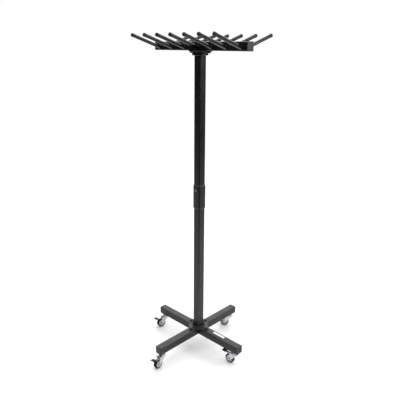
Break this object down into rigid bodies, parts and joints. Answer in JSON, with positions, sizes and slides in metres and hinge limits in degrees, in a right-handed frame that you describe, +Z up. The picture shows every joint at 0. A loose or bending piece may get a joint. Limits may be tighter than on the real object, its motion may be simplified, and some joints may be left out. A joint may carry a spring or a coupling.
{
  "type": "rolling peg rack",
  "caption": "Rolling display rack: a square post on a four-arm caster base carries a straight head bar with a row of rising pegs on each side for hanging goods.",
  "frame": {"origin": "on the floor under the centre of the post", "axes": "+Z up along the post; +X along the head bar and the long base tube; +Y along the short base tubes, the way the second row of pegs points"},
  "size_m": [0.5845, 0.6329, 1.6202],
  "materials": {
    "black_paint": "satin black powder coat",
    "black_plastic": "moulded, fine grain",
    "black_steel": "black oxide",
    "bright_zinc": "bright zinc plate",
    "grey_nylon": "moulded, smooth",
    "tyre_rubber": "matt"
  },
  "bodies": {
    "frame": {"base_long_tube": "black_paint", "base_short_tube_ypos": "black_paint", "base_short_tube_yneg": "black_paint", "arm_end_cap_xpos": "black_plastic", "arm_end_cap_ypos": "black_plastic", "arm_end_cap_xneg": "black_plastic", "arm_end_cap_yneg": "black_plastic", "bar_end_cap_xpos": "black_plastic", "bar_end_cap_xneg": "black_plastic", "hub_plate": "black_paint", "foot_collar": "black_paint", "hub_bolt_xpos": "black_steel", "hub_bolt_ypos": "black_steel", "hub_bolt_xneg": "black_steel", "hub_bolt_yneg": "black_steel", "lower_pole": "black_paint", "upper_pole": "black_paint", "coupling_sleeve": "black_paint", "sleeve_screw": "black_steel", "head_collar": "black_paint", "head_plate": "black_paint", "head_bar": "black_paint", "peg_ypos_1": "black_paint", "peg_ypos_2": "black_paint", "peg_ypos_3": "black_paint", "peg_ypos_4": "black_paint", "peg_ypos_5": "black_paint", "peg_ypos_6": "black_paint", "peg_ypos_7": "black_paint", "peg_yneg_1": "black_paint", "peg_yneg_2": "black_paint", "peg_yneg_3": "black_paint", "peg_yneg_4": "black_paint", "peg_yneg_5": "black_paint", "peg_yneg_6": "black_paint", "peg_yneg_7": "black_paint", "caster_stem_xpos": "bright_zinc", "caster_stem_ypos": "bright_zinc", "caster_stem_xneg": "bright_zinc", "caster_stem_yneg": "bright_zinc"},
    "fork_xpos": {"caster_fork_xpos": "bright_zinc", "caster_axle_xpos": "bright_zinc"},
    "wheel_xpos": {"caster_tyre_xpos": "tyre_rubber", "caster_core_xpos": "grey_nylon"},
    "brake_xpos": {"brake_lever_xpos": "bright_zinc"},
    "fork_ypos": {"caster_fork_ypos": "bright_zinc", "caster_axle_ypos": "bright_zinc"},
    "wheel_ypos": {"caster_tyre_ypos": "tyre_rubber", "caster_core_ypos": "grey_nylon"},
    "brake_ypos": {"brake_lever_ypos": "bright_zinc"},
    "fork_xneg": {"caster_fork_xneg": "bright_zinc", "caster_axle_xneg": "bright_zinc"},
    "wheel_xneg": {"caster_tyre_xneg": "tyre_rubber", "caster_core_xneg": "grey_nylon"},
    "brake_xneg": {"brake_lever_xneg": "bright_zinc"},
    "fork_yneg": {"caster_fork_yneg": "bright_zinc", "caster_axle_yneg": "bright_zinc"},
    "wheel_yneg": {"caster_tyre_yneg": "tyre_rubber", "caster_core_yneg": "grey_nylon"},
    "brake_yneg": {"brake_lever_yneg": "bright_zinc"}
  },
  "joints": [
    {"name": "swivel_xpos", "type": "hinge", "parent": "frame", "child": "fork_xpos", "pos_m": [0.266, 0, 0.062], "axis": [0, 0, 1], "continuous": true},
    {"name": "roll_xpos", "type": "hinge", "parent": "fork_xpos", "child": "wheel_xpos", "pos_m": [0.23431, -0.00445, 0.025], "axis": [-0.1392, 0.9903, 0], "continuous": true},
    {"name": "brake_xpos", "type": "hinge", "parent": "fork_xpos", "child": "brake_xpos", "pos_m": [0.2452, -0.00292, 0.0552], "axis": [0.1392, -0.9903, 0], "range_deg": [0, 16]},
    {"name": "swivel_ypos", "type": "hinge", "parent": "frame", "child": "fork_ypos", "pos_m": [0, 0.266, 0.062], "axis": [0, 0, 1], "continuous": true},
    {"name": "roll_ypos", "type": "hinge", "parent": "fork_ypos", "child": "wheel_ypos", "pos_m": [-0.02057, 0.24149, 0.025], "axis": [-0.766, 0.6428, 0], "continuous": true},
    {"name": "brake_ypos", "type": "hinge", "parent": "fork_ypos", "child": "brake_ypos", "pos_m": [-0.0135, 0.24991, 0.0552], "axis": [0.766, -0.6428, 0], "range_deg": [0, 16]},
    {"name": "swivel_xneg", "type": "hinge", "parent": "frame", "child": "fork_xneg", "pos_m": [-0.266, 0, 0.062], "axis": [0, 0, 1], "continuous": true},
    {"name": "roll_xneg", "type": "hinge", "parent": "fork_xneg", "child": "wheel_xneg", "pos_m": [-0.27265, -0.0313, 0.025], "axis": [-0.9781, 0.2079, 0], "continuous": true},
    {"name": "brake_xneg", "type": "hinge", "parent": "fork_xneg", "child": "brake_xneg", "pos_m": [-0.27037, -0.02054, 0.0552], "axis": [0.9781, -0.2079, 0], "range_deg": [0, 16]},
    {"name": "swivel_yneg", "type": "hinge", "parent": "frame", "child": "fork_yneg", "pos_m": [0, -0.266, 0.062], "axis": [0, 0, 1], "continuous": true},
    {"name": "roll_yneg", "type": "hinge", "parent": "fork_yneg", "child": "wheel_yneg", "pos_m": [0.00334, -0.29783, 0.025], "axis": [-0.9945, -0.1045, 0], "continuous": true},
    {"name": "brake_yneg", "type": "hinge", "parent": "fork_yneg", "child": "brake_yneg", "pos_m": [0.00219, -0.28689, 0.0552], "axis": [0.9945, 0.1045, 0], "range_deg": [0, 16]}
  ]
}
